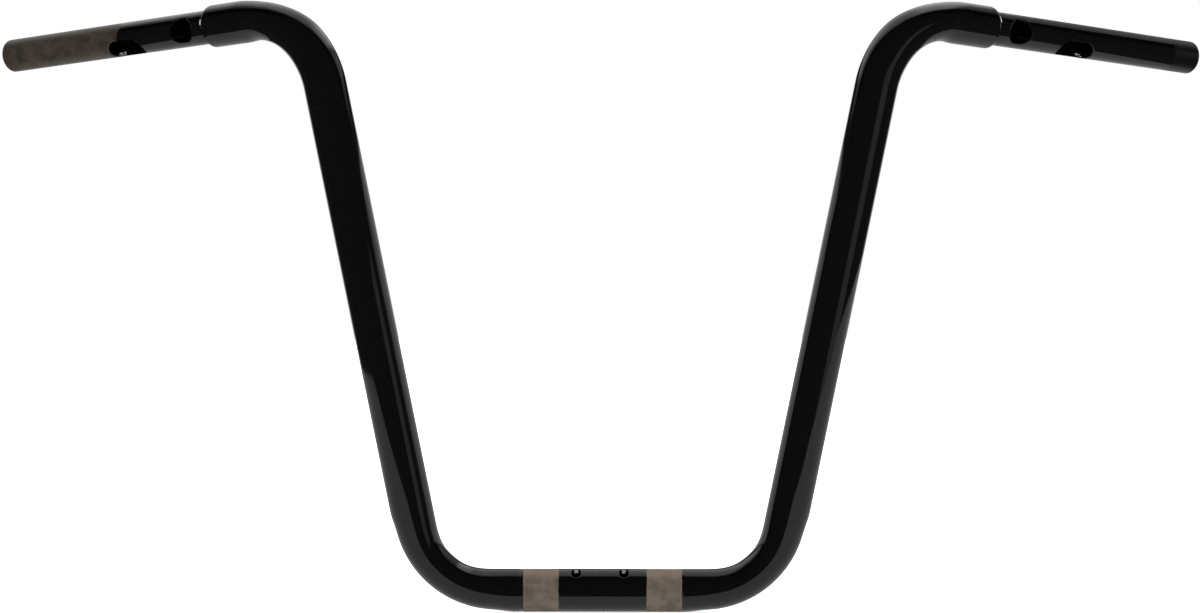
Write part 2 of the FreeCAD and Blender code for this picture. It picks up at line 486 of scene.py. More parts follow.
grip_front = unit(np.array([0.0, -1.0, 0.0]) + grip_heading * grip_heading[1])
grip_top = unit(np.array([0.0, 0.0, 1.0]) - grip_heading * grip_heading[2])


def end_tube():
    """Skin of the end tube on the +X side; column 0 runs through the neck hole, then columns go down."""
    zero = grip_front * math.cos(NECK_BELOW_FRONT) - grip_top * math.sin(NECK_BELOW_FRONT)
    tube = StraightTube(step, grip_heading, zero, END_TUBE_R, END_BORE_R)
    places = spaced([0.0, RELIEF_PAST_STEP, *window_of(NECK_HOLE), *window_of(SLOT),
                     GRIP_LENGTH - END_ROUND], END_STEP)
    sleeve_r = END_TUBE_R - SHOULDER
    relief_r = sleeve_r - SLEEVE_WALL
    sleeve_places = spaced([-SLEEVE_DEPTH, 0.0], END_STEP)
    outside = [tube.at(place, AROUND, sleeve_r) for place in sleeve_places]
    lead = len(outside)
    outside += [tube.at(place, AROUND, END_TUBE_R) for place in places]
    for k in range(1, ROUND_ROWS + 1):
        bow = math.pi / 2 * k / ROUND_ROWS
        outside.append(tube.at(GRIP_LENGTH - END_ROUND * (1 - math.sin(bow)), AROUND,
                               END_TUBE_R - END_ROUND * (1 - math.cos(bow))))
    bore = [tube.at(place, AROUND, relief_r) for place in sleeve_places[:-1]]
    bore.append(tube.at(RELIEF_PAST_STEP, AROUND, relief_r))
    bore_places = [place for place in places if place >= RELIEF_PAST_STEP]
    bore_lead = len(bore) + len(bore_places) - len(places)
    bore += [tube.at(place, AROUND, END_BORE_R) for place in bore_places]
    bore.append(tube.at(GRIP_LENGTH - END_BREAK, AROUND, END_BORE_R))
    bore.append(tube.at(GRIP_LENGTH, AROUND, END_BORE_R + END_BREAK))
    skin = Skin()
    outer = skin.add(np.array(outside))
    inner = skin.add(np.array(bore))
    pierced_sheets(skin, tube, (outer, inner), (lead, bore_lead), places, [NECK_HOLE, SLOT])
    skin.strip(outer[0], inner[0])
    skin.strip(outer[-1], inner[-1])
    return skin


clutch_tube_skin = end_tube().piece("clutch_end_tube_skin")
throttle_tube = Skin()
throttle_tube.join(end_tube(), MIRROR)
throttle_tube_skin = throttle_tube.piece("throttle_end_tube_skin")

# %% [markdown]
# The riser clamps grip two bare bands of the base, rolled with a fine diamond grain so that the bar
# can't turn. Bump alone would vanish at the band's edge, so the grain is real: points alternate
# between groove and peak like a chequerboard, and every cell is split along its groove.

# %% The two bare clamp bands
GRAIN_PITCH = 1.1 * MM
GRAIN_DEPTH = 0.2 * MM
GRAIN_WEAR = 0.35
GRAIN_SEED = 5
GRAIN_SHARP_ANGLE = 60.0
BAND_BACK = 0.3 * MM
BAND_ROWS = 2 * round(BAND_WIDTH / GRAIN_PITCH)
BAND_COLUMNS = 2 * round(2 * math.pi * TUBE_R / GRAIN_PITCH)
grain_random = np.random.default_rng(GRAIN_SEED)


def clamp_band(name, middle):
    """Ring of diamond grain round the base tube, with a plain back."""
    x = middle + BAND_WIDTH * (np.arange(BAND_ROWS + 1) / BAND_ROWS - 0.5)
    angle = np.arange(BAND_COLUMNS) * (2 * math.pi / BAND_COLUMNS)
    row, column = np.meshgrid(np.arange(BAND_ROWS + 1), np.arange(BAND_COLUMNS), indexing="ij")
    peak = (row + column) % 2 * (1 - GRAIN_WEAR * grain_random.random(row.shape))
    peak[[0, -1]] = 0.0
    radius = TUBE_R - GRAIN_DEPTH * (1 - peak)
    grain = np.stack([x[row], -radius * np.cos(angle[column]), radius * np.sin(angle[column])], -1)
    skin = Skin()
    front = skin.add(grain)
    for i in range(BAND_ROWS):
        for j in range(BAND_COLUMNS):
            n = (j + 1) % BAND_COLUMNS
            a, b, c, d = front[i, j], front[i + 1, j], front[i + 1, n], front[i, n]
            if (i + j) % 2:
                skin.faces += [(a, b, d), (b, c, d)]
            else:
                skin.faces += [(a, b, c), (a, c, d)]
    back_r = TUBE_R - BAND_BACK
    ends = [np.stack([np.full(BAND_COLUMNS, edge), -back_r * np.cos(angle), back_r * np.sin(angle)], -1)
            for edge in (x[0], x[-1])]
    back = skin.add(np.array(ends))
    skin.strip(front[0], back[0])
    skin.strip(back[0], back[1])
    skin.strip(back[1], front[-1])
    return skin.piece(name, GRAIN_SHARP_ANGLE)


left_band = clamp_band("left_clamp_band", BAND_MIDDLES["left"])
right_band = clamp_band("right_clamp_band", -BAND_MIDDLES["right"])

# %% [markdown]
# A finish is a graph of nodes. Typed out node by node it would be long, so a few helpers add one node
# each and give back its output. What they are given may be sockets or plain numbers.

# %% Helpers for nodes
# Numbers of a Mix node's sockets for the first value, the second value and the result.
MIX_SOCKETS = {"FLOAT": (2, 3, 0), "RGBA": (6, 7, 2)}


def feed(value, socket):
    """Links another socket into a socket, or sets it to a plain number or colour."""
    if isinstance(value, bpy.types.NodeSocket):
        socket.id_data.links.new(value, socket)
    else:
        socket.default_value = value


def node(tree, kind, **settings):
    """New node with its properties set; a setting that names a socket sets that socket."""
    made = tree.nodes.new(kind)
    for key, value in settings.items():
        if hasattr(made, key):
            setattr(made, key, value)
        else:
            made.inputs[key].default_value = value
    return made


def maths(tree, operation, *values):
    """Math node on one to three values."""
    made = node(tree, "ShaderNodeMath", operation=operation)
    for value, socket in zip(values, made.inputs):
        feed(value, socket)
    return made.outputs[0]


def vector_maths(tree, operation, first, second):
    """Outputs of a Vector Math node on a socket and on another socket or three numbers."""
    made = node(tree, "ShaderNodeVectorMath", operation=operation)
    feed(first, made.inputs[0])
    feed(second, made.inputs[1])
    return made.outputs


def noise_of(tree, vector, scale, detail, roughness=0.5):
    """Noise value at a vector."""
    made = node(tree, "ShaderNodeTexNoise", Detail=detail, Roughness=roughness)
    feed(vector, made.inputs["Vector"])
    feed(scale, made.inputs["Scale"])
    return made.outputs["Fac"]


def remap(tree, value, low, high, to_low=0.0, to_high=1.0, kind="LINEAR"):
    """Value moved from one range to another."""
    made = node(tree, "ShaderNodeMapRange", interpolation_type=kind)
    names = ("Value", "From Min", "From Max", "To Min", "To Max")
    for name, number in zip(names, (value, low, high, to_low, to_high)):
        feed(number, made.inputs[name])
    return made.outputs["Result"]


def mixed(tree, mask, first, second, kind="FLOAT"):
    """First where the mask is 0, second where it is 1."""
    made = node(tree, "ShaderNodeMix", data_type=kind)
    first_place, second_place, result_place = MIX_SOCKETS[kind]
    feed(mask, made.inputs[0])
    feed(first, made.inputs[first_place])
    feed(second, made.inputs[second_place])
    return made.outputs[result_place]


print("node helpers ready")

# %% [markdown]
# Paint and steel share a few effects. Each is a node group with named sockets, built once: the slight
# orange peel of sprayed powder, the fine streaks round bare steel, a mask for the edge of the paint that
# runs across a tube at a given place, a little ragged as masking leaves it, and a mask for a small spot
# of painted glint, as on the cut wall of a hole.

# %% Shared effects
PEEL_SCALE = 260.0
CLOUD_SCALE = 24.0
CLOUD_RANGE = (0.3, 0.7)
STREAKS_PER_METRE = 1600.0
WOBBLE_SCALE = 60.0
FINE_SCALE = 900.0
BLOTCH_SCALE = 110.0
BLOTCH_RANGE = (0.28, 0.72)
EDGE_SCALE = 180.0
SPECK_SCALE = 700.0
SPECK_RANGE = (0.46, 0.54)
SPOT_SOFT_FROM = 0.1 * MM
SPOT_SOFT_TO = 0.15 * MM
REACH_FADE = (0.67, 1.33)


def new_group(name, outputs, **inputs):
    """Empty shader group, what it is given and its result; an input with no default is a vector."""
    tree = bpy.data.node_groups.new(name, "ShaderNodeTree")
    for socket_name, default in inputs.items():
        kind = "NodeSocketVector" if default is None else "NodeSocketFloat"
        socket = tree.interface.new_socket(name=socket_name, in_out="INPUT", socket_type=kind)
        if default is not None:
            socket.default_value = default
    for socket_name in outputs:
        tree.interface.new_socket(name=socket_name, in_out="OUTPUT", socket_type="NodeSocketFloat")
    return tree, tree.nodes.new("NodeGroupInput").outputs, tree.nodes.new("NodeGroupOutput").inputs


def orange_peel_group():
    """Soft waves of sprayed powder: a height, and a slight change of gloss."""
    tree, given, result = new_group("orange_peel", ["Height", "Gloss"], Vector=None, Scale=PEEL_SCALE)
    waves = noise_of(tree, given["Vector"], given["Scale"], detail=1.5, roughness=0.4)
    feed(waves, result["Height"])
    clouds = noise_of(tree, given["Vector"], CLOUD_SCALE, detail=3.0)
    feed(remap(tree, clouds, *CLOUD_RANGE, -1.0, 1.0), result["Gloss"])
    return tree


def steel_streak_group():
    """Bare steel: fine streaks across a direction, blotches, and a height."""
    tree, given, result = new_group("steel_streaks", ["Streaks", "Blotches", "Height"],
                                    Along=0.0, Vector=None)
    rings = node(tree, "ShaderNodeCombineXYZ")
    feed(maths(tree, "MULTIPLY", given["Along"], STREAKS_PER_METRE), rings.inputs["X"])
    feed(noise_of(tree, given["Vector"], WOBBLE_SCALE, detail=2.0), rings.inputs["Y"])
    streaks = noise_of(tree, rings.outputs[0], 1.0, detail=4.0, roughness=0.65)
    fine = noise_of(tree, given["Vector"], FINE_SCALE, detail=3.0, roughness=0.6)
    blotches = noise_of(tree, given["Vector"], BLOTCH_SCALE, detail=4.0, roughness=0.62)
    feed(streaks, result["Streaks"])
    feed(remap(tree, blotches, *BLOTCH_RANGE), result["Blotches"])
    feed(maths(tree, "ADD", streaks, fine), result["Height"])
    return tree


def paint_edge_group():
    """Mask that is 1 past a place along a tube and 0 before it, with a ragged soft edge."""
    tree, given, result = new_group("paint_edge", ["Mask"], Along=0.0, Vector=None, Place=0.0,
                                    Raggedness=MM, Softness=MM, Scale=EDGE_SCALE)
    ragged = noise_of(tree, given["Vector"], given["Scale"], detail=4.0, roughness=0.6)
    centred = maths(tree, "SUBTRACT", ragged, 0.5)
    shifted = maths(tree, "MULTIPLY_ADD", centred, given["Raggedness"], given["Along"])
    past = maths(tree, "SUBTRACT", shifted, given["Place"])
    share = maths(tree, "DIVIDE", past, given["Softness"])
    feed(remap(tree, share, -0.5, 0.5, kind="SMOOTHSTEP"), result["Mask"])
    return tree


def glint_spot_group():
    """Mask of a painted glint: 1 near a place along a tube and between two limits across it, in specks if
    asked.
    """
    tree, given, result = new_group("glint_spot", ["Mask"], Along=0.0, Across=0.0, Vector=None, From=0.0,
                                    To=0.0, Place=0.0, Reach=MM, Specks=0.0)
    past_from = maths(tree, "SUBTRACT", given["Across"], given["From"])
    short_of_to = maths(tree, "SUBTRACT", given["To"], given["Across"])
    past_place = maths(tree, "SUBTRACT", given["Along"], given["Place"])
    within_reach = maths(tree, "DIVIDE", maths(tree, "ABSOLUTE", past_place), given["Reach"])
    mask = maths(tree, "MULTIPLY", remap(tree, past_from, -SPOT_SOFT_FROM, SPOT_SOFT_FROM),
                 remap(tree, short_of_to, -SPOT_SOFT_TO, SPOT_SOFT_TO))
    mask = maths(tree, "MULTIPLY", mask, remap(tree, within_reach, *REACH_FADE, 1.0, 0.0))
    specks = remap(tree, noise_of(tree, given["Vector"], SPECK_SCALE, detail=2.0), *SPECK_RANGE)
    plain = maths(tree, "SUBTRACT", 1.0, given["Specks"])
    feed(maths(tree, "MULTIPLY", mask, maths(tree, "MAXIMUM", specks, plain)), result["Mask"])
    return tree


orange_peel = orange_peel_group()
steel_streaks = steel_streak_group()
paint_edge = paint_edge_group()
glint_spot = glint_spot_group()
print("shared effects", [group.name for group in (orange_peel, steel_streaks, paint_edge, glint_spot)])

# %% [markdown]
# Finishes start from one Principled shader each. The place along a tube comes from the object's own
# coordinates, so a finish stays put from any side.

# %% Helpers for the finishes
BUMP_DISTANCE = 0.2 * MM
ORIGIN = (0.0, 0.0, 0.0)
ACROSS_BAR = (1.0, 0.0, 0.0)
UPWARD = (0.0, 0.0, 1.0)


def new_finish(name):
    """Material with a Principled shader: the material, its tree, the shader's inputs, coordinates."""
    material = bpy.data.materials.new(name)
    material.use_nodes = True
    tree = material.node_tree
    coordinates = tree.nodes.new("ShaderNodeTexCoord").outputs["Object"]
    return material, tree, tree.nodes["Principled BSDF"].inputs, coordinates


def placed(tree, group, **values):
    """Outputs of a group node with its named sockets linked or set."""
    made = tree.nodes.new("ShaderNodeGroup")
    made.node_tree = group
    for key, value in values.items():
        feed(value, made.inputs[key])
    return made.outputs


def along_line(tree, coordinates, origin, direction):
    """Distance along a direction from an origin."""
    offset = vector_maths(tree, "SUBTRACT", coordinates, tuple(origin))["Vector"]
    return vector_maths(tree, "DOT_PRODUCT", offset, tuple(direction))["Value"]


def from_line(tree, coordinates, origin, direction):
    """Distance from the line through an origin along a direction."""
    offset = vector_maths(tree, "SUBTRACT", coordinates, tuple(origin))["Vector"]
    nearest = vector_maths(tree, "PROJECT", offset, tuple(direction))["Vector"]
    return vector_maths(tree, "DISTANCE", offset, nearest)["Value"]


def bumped(tree, shader, height, strength):
    """Bump from a height into a shader's normal."""
    bump = node(tree, "ShaderNodeBump", Strength=strength, Distance=BUMP_DISTANCE)
    feed(height, bump.inputs["Height"])
    feed(bump.outputs["Normal"], shader["Normal"])


print("bump distance in mm", BUMP_DISTANCE / MM)

# %% [markdown]
# Gloss black powder is nearly black with a low roughness, so almost all that is seen of it is
# reflection. A flat black would look like a cut-out, so the powder's soft waves bend the reflections
# and its gloss changes a little. In the two openings of the base a narrow strip of the drilled wall is
# painted bright as bare steel, a painted glint that stands in for the light caught there.

# %% Gloss black paint
PAINT_BLACK = (0.002, 0.002, 0.0022, 1.0)
PAINT_ROUGHNESS = 0.06
GLOSS_CHANGE = 0.012
PEEL_STRENGTH = 0.035
# Bright bare-steel colour of every painted glint on the bar.
GLINT_STEEL = (0.80, 0.78, 0.75, 1.0)
GLINT_ROUGHNESS = 0.30
GLINT_METAL = 0.4
DRILLED_PAST_BORE = 0.15 * MM
DRILLED_BELOW_SKIN = 0.55 * MM
DRILLED_REACH = 1.2 * MM


def gloss_black():
    """Gloss powder coat of the main tube, with a painted glint on the drilled walls of the base's
    openings.
    """
    material, tree, shader, coordinates = new_finish("gloss_black_powder")
    peel = placed(tree, orange_peel, Vector=coordinates)
    sideways = maths(tree, "ABSOLUTE", along_line(tree, coordinates, ORIGIN, ACROSS_BAR))
    # Painted glint: a narrow bright strip of bare-steel colour on the drilled walls of the base's
    # openings.
    drilled_glint = placed(tree, glint_spot, Along=sideways, Vector=coordinates,
                     Across=from_line(tree, coordinates, ORIGIN, ACROSS_BAR),
                     From=TUBE_R - TUBE_WALL + DRILLED_PAST_BORE, To=TUBE_R - DRILLED_BELOW_SKIN,
                     Place=BASE_HOLE["along"], Reach=DRILLED_REACH)["Mask"]
    feed(mixed(tree, drilled_glint, PAINT_BLACK, GLINT_STEEL, "RGBA"), shader["Base Color"])
    feed(maths(tree, "MULTIPLY", drilled_glint, GLINT_METAL), shader["Metallic"])
    gloss = remap(tree, peel["Gloss"], -1.0, 1.0, PAINT_ROUGHNESS - GLOSS_CHANGE,
                  PAINT_ROUGHNESS + GLOSS_CHANGE)
    feed(mixed(tree, drilled_glint, gloss, GLINT_ROUGHNESS), shader["Roughness"])
    bumped(tree, shader, peel["Height"], PEEL_STRENGTH)
    return material


main_tube_skin.data.materials.append(gloss_black())
print("gloss black on the main tube")

# %% [markdown]
# Both end tubes have small painted glints, bright spots of bare-steel colour that stand in for
# highlights: on the cut wall near the outer end of each slot, in specks, and on the front of the inner
# corner at each step. They are small, but they shine, and the eye looks for them.

# %% Painted glints of the end tubes
SLOT_PAST_BORE = 0.2 * MM
SLOT_GLINT_AT = 91.2 * MM
SLOT_GLINT = 1.8 * MM
CORNER_GLINT_AT = 1.3 * MM
CORNER_GLINT = 0.6 * MM


def painted_glints(tree, coordinates, flip, height_angle, half_angle):
    """Mask of an end tube's painted glints; the angles place the one at the step."""
    origin, heading = step * flip, grip_heading * flip
    toward = (grip_front * math.cos(height_angle) + grip_top * math.sin(height_angle)) * flip
    along = along_line(tree, coordinates, origin, heading)
    slot = placed(tree, glint_spot, Along=along, Vector=coordinates,
                  Across=from_line(tree, coordinates, origin, heading),
                  From=END_BORE_R + SLOT_PAST_BORE, To=END_TUBE_R - SLOT["edge"],
                  Place=SLOT_GLINT_AT, Reach=SLOT_GLINT, Specks=1.0)
    corner = placed(tree, glint_spot, Along=along, Vector=coordinates,
                    Across=along_line(tree, coordinates, origin, toward),
                    From=END_TUBE_R * math.cos(half_angle), To=2 * END_TUBE_R,
                    Place=CORNER_GLINT_AT, Reach=CORNER_GLINT)
    return maths(tree, "MAXIMUM", slot["Mask"], corner["Mask"])


# The painted glint in each slot starts this far past the step.
print("bare from", round((SLOT_GLINT_AT - SLOT_GLINT) / MM, 1), "mm past the step in the slots")

# %% [markdown]
# The left grip end is black to its tip, with the last stretch duller where the coat is thin. The
# right one is masked off: past a slanted soft line it is bare steel, so a throttle sleeve turns freely
# on it. Two materials on one tube would meet in a hard line along the faces, so each tube has one
# shader whose colour, gloss and metal change across a mask.

# %% The end tubes' finishes
# Angle of the painted glint at the step above the tube's front, and half the angle that it spans.
CLUTCH_CORNER_GLINT = (math.radians(29.0), math.radians(14.5))
THROTTLE_CORNER_GLINT = (math.radians(12.0), math.radians(9.0))
MATTE_EDGE = {"Place": 177.0 * MM, "Raggedness": 1.5 * MM, "Softness": 2.0 * MM}
MATTE_ROUGHNESS = 0.32
BARE_EDGE = {"Place": 85.0 * MM, "Raggedness": 5.0 * MM, "Softness": 3.5 * MM, "Scale": 120.0}
BARE_SLANT = 0.25
# Depths under the tube's outside where the paint begins to give way and is gone.
BARE_DEPTHS = (1.2 * MM, 0.8 * MM)
STEEL_DARK = (0.022, 0.017, 0.012, 1.0)
STEEL_LIGHT = (0.060, 0.047, 0.034, 1.0)
STEEL_METAL = 0.45
STEEL_ROUGHNESS = (0.34, 0.46)
STEEL_BUMP = 0.07


def clutch_finish():
    """Gloss black that turns duller near the tip."""
    material, tree, shader, coordinates = new_finish("gloss_black_thin_at_tip")
    peel = placed(tree, orange_peel, Vector=coordinates)
    along = along_line(tree, coordinates, step, grip_heading)
    dull = placed(tree, paint_edge, Along=along, Vector=coordinates, **MATTE_EDGE)["Mask"]
    # Painted glints at the slot and the step: bright bare-steel colour where highlights fall.
    glints = painted_glints(tree, coordinates, np.ones(3), *CLUTCH_CORNER_GLINT)
    feed(mixed(tree, glints, PAINT_BLACK, GLINT_STEEL, "RGBA"), shader["Base Color"])
    feed(maths(tree, "MULTIPLY", glints, GLINT_METAL), shader["Metallic"])
    feed(mixed(tree, dull, PAINT_ROUGHNESS, MATTE_ROUGHNESS), shader["Roughness"])
    bumped(tree, shader, peel["Height"], PEEL_STRENGTH)
    return material


def throttle_finish():
    """Gloss black next to the step, bare steel past a slanted soft line."""
    origin, heading, top = step * MIRROR, grip_heading * MIRROR, grip_top * MIRROR
    material, tree, shader, coordinates = new_finish("black_to_bare_steel")
    peel = placed(tree, orange_peel, Vector=coordinates)
    slanted = along_line(tree, coordinates, origin, heading + top * BARE_SLANT)
    past_edge = placed(tree, paint_edge, Along=slanted, Vector=coordinates, **BARE_EDGE)["Mask"]
    depth = from_line(tree, coordinates, origin, heading)
    outside = remap(tree, depth, END_TUBE_R - BARE_DEPTHS[0], END_TUBE_R - BARE_DEPTHS[1])
    bare = maths(tree, "MULTIPLY", past_edge, outside)
    # Painted glints at the slot and the step: bright bare-steel colour where highlights fall.
    glints = painted_glints(tree, coordinates, MIRROR, *THROTTLE_CORNER_GLINT)
    steel = placed(tree, steel_streaks, Along=along_line(tree, coordinates, origin, heading),
                   Vector=coordinates)
    steel_colour = mixed(tree, steel["Blotches"], STEEL_DARK, STEEL_LIGHT, "RGBA")
    colour = mixed(tree, bare, PAINT_BLACK, steel_colour, "RGBA")
    feed(mixed(tree, glints, colour, GLINT_STEEL, "RGBA"), shader["Base Color"])
    metal = maths(tree, "MULTIPLY", maths(tree, "MAXIMUM", bare, glints), STEEL_METAL)
    feed(metal, shader["Metallic"])
    steel_gloss = remap(tree, steel["Blotches"], 0.0, 1.0, *STEEL_ROUGHNESS)
    feed(mixed(tree, bare, PAINT_ROUGHNESS, steel_gloss), shader["Roughness"])
    bumped(tree, shader, mixed(tree, bare, peel["Height"], steel["Height"]), STEEL_BUMP)
    return material


clutch_tube_skin.data.materials.append(clutch_finish())
throttle_tube_skin.data.materials.append(throttle_finish())
print("finishes on the end tubes")

# %% [markdown]
# The clamp bands are raw steel with a dull warm film. Along their tops the colour is painted lighter
# and warmer, a painted highlight where light from above falls. Paint laps over both rims of each band
# in a slightly wavy line, so the same edge mask runs there twice.

# %% The clamp bands' finish
BAND_EDGE = {"Place": 0.5 * MM, "Raggedness": 1.6 * MM, "Softness": 0.4 * MM, "Scale": 150.0}
BAND_DARK = (0.052, 0.040, 0.028, 1.0)
BAND_LIGHT = (0.128, 0.101, 0.073, 1.0)
BAND_LIT_TOP = (0.185, 0.135, 0.098, 1.0)
BAND_LIT_TOP_HEIGHTS = (8.0 * MM, 13.0 * MM)
BAND_METAL = 0.2
BAND_ROUGHNESS = 0.55
BAND_BUMP = 0.1


def band_finish(name, middle):
    """Bare grained steel between two wavy paint lines, painted lighter along the top as a highlight."""
    material, tree, shader, coordinates = new_finish(name)
    left = along_line(tree, coordinates, (middle - BAND_WIDTH / 2, 0, 0), ACROSS_BAR)
    right = along_line(tree, coordinates, (middle + BAND_WIDTH / 2, 0, 0), -SIDEWAYS)
    masks = [placed(tree, paint_edge, Along=reach, Vector=coordinates, **BAND_EDGE)["Mask"]
             for reach in (left, right)]
    bare = maths(tree, "MULTIPLY", *masks)
    steel = placed(tree, steel_streaks, Along=left, Vector=coordinates)
    steel_colour = mixed(tree, steel["Blotches"], BAND_DARK, BAND_LIGHT, "RGBA")
    # Painted highlight: lighter, warmer colour along the band's top, where light from above falls.
    near_top = remap(tree, along_line(tree, coordinates, ORIGIN, UPWARD), *BAND_LIT_TOP_HEIGHTS)
    lit_top = maths(tree, "MULTIPLY", near_top, steel["Streaks"])
    steel_colour = mixed(tree, lit_top, steel_colour, BAND_LIT_TOP, "RGBA")
    feed(mixed(tree, bare, PAINT_BLACK, steel_colour, "RGBA"), shader["Base Color"])
    feed(maths(tree, "MULTIPLY", bare, BAND_METAL), shader["Metallic"])
    feed(mixed(tree, bare, PAINT_ROUGHNESS, BAND_ROUGHNESS), shader["Roughness"])
    bumped(tree, shader, steel["Height"], BAND_BUMP)
    return material


left_band.data.materials.append(band_finish("left_band_bare_steel", BAND_MIDDLES["left"]))
right_band.data.materials.append(band_finish("right_band_bare_steel", -BAND_MIDDLES["right"]))
print("finishes on the clamp bands")

# %% [markdown]
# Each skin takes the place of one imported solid, and the bands ride along. The bar has no joints, so
# everything belongs to the one body.

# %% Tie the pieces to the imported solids
for piece, solid, slot in ((main_tube_skin, "main_tube", "gloss_black"),
                           (clutch_tube_skin, "clutch_end_tube", "gloss_black"),
                           (throttle_tube_skin, "throttle_end_tube", "bare_steel")):
    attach(piece, "root")
    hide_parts(solid)
for piece in (left_band, right_band):
    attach(piece, "root")
print("skins for", sorted(frame["nodes"]))

# %% [markdown]
# A gloss black tube shows its surroundings, so the light is set up as a photographer's table with
# bright cards round it and the viewer's side dark. Lamps would do for a matt object, but in gloss they
# show as small spots. A card shows as a clean band of grey along the tube. Only reflections see the
# cards, so they stay out of the picture itself.

# %% Studio cards
def card(name, rows, glow):
    """Bright card between two rows of corners, seen only in reflections; gives its tree and light."""
    count = len(rows[0])
    faces = [(k, k + 1, count + k + 1, count + k) for k in range(count - 1)]
    mesh = bpy.data.meshes.new(name)
    mesh.from_pydata(rows[0] + rows[1], [], faces)
    made = bpy.data.objects.new(name, mesh)
    bpy.context.scene.collection.objects.link(made)
    made.visible_camera = False
    made.visible_diffuse = False
    made.visible_shadow = False
    material = bpy.data.materials.new(name)
    material.use_nodes = True
    tree = material.node_tree
    light = node(tree, "ShaderNodeEmission", Strength=glow)
    feed(light.outputs[0], tree.nodes["Material Output"].inputs["Surface"])
    mesh.materials.append(material)
    print("card", name, "with", count, "corners along its edge")
    return tree, light


def facing(depth, edge):
    """Corners of an edge across the view: its places sideways and heights, at one depth."""
    return [(x, depth, z) for x, z in edge]


def beside(x, edge):
    """Corners of an edge along the view: its depths and heights, at one place sideways."""
    return [(x, depth, z) for depth, z in edge]


def down_to(corners, height):
    """The same corners at another height."""
    return [(x, y, height) for x, y, z in corners]


def back_to(corners, depth):
    """The same corners at another depth."""
    return [(x, depth, z) for x, y, z in corners]


print("card helpers ready")

# %% [markdown]
# A white tray with raised edges lies under the bar, and white walls stand behind and beside it. Their
# upper edges end the grey bands on the tubes, so the edges rise and fall to let each band be as wide
# as on the real bar. A dim panel stands off to the right, nearer to the viewer.

# %% Tray, walls and side panel
TRAY_GLOW = 0.62
WALL_GLOW = 0.72
PANEL_GLOW = 0.34
FAR = 2.4
TRAY_FLOOR = -0.17
TRAY_NEAR = -0.28
TRAY_FOOT = -0.12
TRAY_LEFT_X = -0.66
TRAY_RIGHT_X = 0.63
WALL_FOOT = 0.3
BACK_FOOT = -0.3
PANEL_DEPTH = -1.2
PANEL_FOOT = -0.8
TRAY_FRONT = [(TRAY_LEFT_X, 0.050), (-0.53, 0.067), (-0.27, 0.049), (-0.165, 0.040), (-0.12, -0.050),
              (-0.085, -0.137), (0.085, -0.137), (0.12, -0.050), (0.165, 0.043), (0.25, 0.053),
              (0.30, 0.078), (TRAY_RIGHT_X, 0.100)]
TRAY_LEFT = [(TRAY_NEAR, 0.050), (0.60, 0.062), (FAR, 0.080)]
TRAY_RIGHT = [(TRAY_NEAR, 0.100), (0.17, 0.155), (0.80, 0.220), (FAR, 0.300)]
LEFT_WALL = [(0.47, 1.00), (1.08, 1.05), (FAR, 1.15)]
RIGHT_WALL = [(-0.10, 0.90), (0.20, 0.96), (1.08, 1.06), (FAR, 1.15)]
BACK_WALL = [(-FAR, 1.15), (-0.95, 0.80), (0.95, 0.80), (FAR, 1.15)]
PANEL = [(0.90, 0.49), (1.76, 0.74), (FAR, 0.91)]

front_edge = facing(TRAY_NEAR, TRAY_FRONT)
card("tray_front", [front_edge, back_to(down_to(front_edge, TRAY_FLOOR), TRAY_FOOT)], TRAY_GLOW)
floor_edge = facing(TRAY_FOOT, [(TRAY_LEFT_X, TRAY_FLOOR), (TRAY_RIGHT_X, TRAY_FLOOR)])
card("tray_floor", [floor_edge, back_to(floor_edge, FAR)], TRAY_GLOW)
for name, corners, foot, glow in (("tray_left", beside(TRAY_LEFT_X, TRAY_LEFT), TRAY_FLOOR, TRAY_GLOW),
                                  ("tray_right", beside(TRAY_RIGHT_X, TRAY_RIGHT), TRAY_FLOOR, TRAY_GLOW),
                                  ("left_wall", beside(-FAR, LEFT_WALL), WALL_FOOT, WALL_GLOW),
                                  ("right_wall", beside(FAR, RIGHT_WALL), WALL_FOOT, WALL_GLOW),
                                  ("back_wall", facing(FAR, BACK_WALL), BACK_FOOT, WALL_GLOW),
                                  ("side_panel", facing(PANEL_DEPTH, PANEL), PANEL_FOOT, PANEL_GLOW)):
    card(name, [corners, down_to(corners, foot)], glow)

# %% [markdown]
# The light overhead gives the band along the top of each tube. It fades in from its front edge, which
# slants back to both sides, so the bands are soft. Along its width it is brightest to the right, over
# the bend there, and dim over the right-hand grip.

# %% Overhead light
OVERHEAD_GLOW = 1.30
OVERHEAD_HEIGHT = 1.5
OVERHEAD_NEAR = -0.2
OVERHEAD_HALF = 3.4
OVERHEAD_SLANT = 0.33
# Places sideways, each with the light's share or with the depth over which it fades in.
OVERHEAD_SHARES = [(-OVERHEAD_HALF, 0.16), (-2.4, 0.70), (-0.9, 0.80), (-0.5, 0.75), (-0.2, 0.62),
                   (0.2, 0.62), (0.4, 1.0), (0.8, 1.0), (0.98, 0.26), (1.15, 0.26), (1.5, 0.36),
                   (2.4, 0.40), (OVERHEAD_HALF, 0.16)]
OVERHEAD_FADES = [(-OVERHEAD_HALF, 0.75), (-0.9, 0.75), (-0.3, 0.25), (OVERHEAD_HALF, 0.25)]


def follow(tree, x, stops):
    """Value that follows a list of places and values along x."""
    low, high = stops[0][0], stops[-1][0]
    ramp = node(tree, "ShaderNodeValToRGB")
    marks = ramp.color_ramp.elements
    while len(marks) < len(stops):
        marks.new(0.5)
    for mark, (stop, value) in zip(marks, stops):
        mark.position = (stop - low) / (high - low)
        mark.color = (value, value, value, 1.0)
    feed(remap(tree, x, low, high), ramp.inputs[0])
    return ramp.outputs["Color"]


